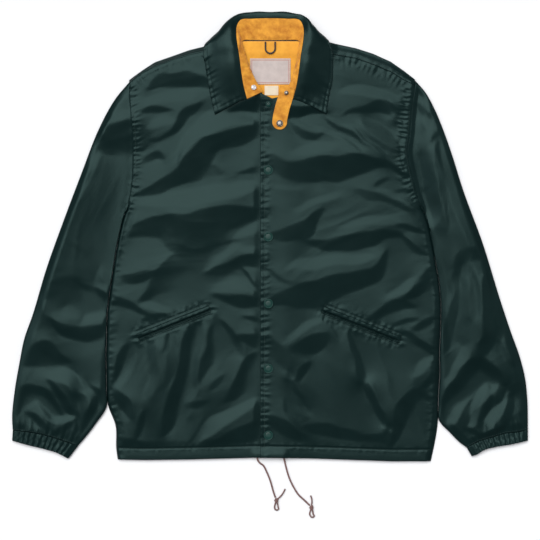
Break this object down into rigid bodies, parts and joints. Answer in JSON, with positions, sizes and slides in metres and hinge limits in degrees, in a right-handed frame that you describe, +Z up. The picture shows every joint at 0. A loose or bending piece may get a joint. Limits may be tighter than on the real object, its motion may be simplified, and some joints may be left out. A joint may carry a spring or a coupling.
{
  "type": "coach jacket",
  "caption": "Green nylon coach jacket laid flat on its back, snapped shut, with a turned-down collar, yellow neck lining, throat tab, slanted welt pockets and hem drawcords.",
  "frame": {"origin": "middle of the jacket's footprint, on the plane it lies on, leaving out the drawcords", "axes": "+X to the wearer's left, +Y from the hem to the collar, +Z up out of the front"},
  "size_m": [0.852, 0.8391, 0.0231],
  "materials": {
    "shell_nylon": "dark green woven nylon with a soft sheen",
    "lining_cotton": "matt yellow woven cotton",
    "label_cloth": "pale woven label cloth, left bare",
    "loop_cord": "dark braided cord",
    "snap_enamel": "green enamel over metal",
    "snap_metal": "bare metal",
    "drawcord": "mauve-brown braided cord"
  },
  "bodies": {
    "root": {"back": "shell_nylon", "collar_leaf": "shell_nylon", "collar_stand": "lining_cotton", "cuff_left": "shell_nylon", "cuff_right": "shell_nylon", "drawcord_left": "drawcord", "drawcord_left_knot": "drawcord", "drawcord_left_loop": "drawcord", "drawcord_left_tail": "drawcord", "drawcord_right": "drawcord", "drawcord_right_knot": "drawcord", "drawcord_right_loop": "drawcord", "drawcord_right_tail": "drawcord", "front_left": "shell_nylon", "front_right": "shell_nylon", "front_snap_1": "snap_enamel", "front_snap_2": "snap_enamel", "front_snap_3": "snap_enamel", "front_snap_4": "snap_enamel", "front_snap_5": "snap_enamel", "front_snap_6": "snap_enamel", "hanger_loop": "loop_cord", "lining_back": "lining_cotton", "neck_label": "label_cloth", "pocket_welt_left": "shell_nylon", "pocket_welt_right": "shell_nylon", "size_tab": "label_cloth", "sleeve_left": "shell_nylon", "sleeve_right": "shell_nylon", "stand_stud": "snap_metal", "tab_snap_1": "snap_metal", "tab_snap_2": "snap_metal", "throat_tab": "lining_cotton"}
  },
  "joints": []
}
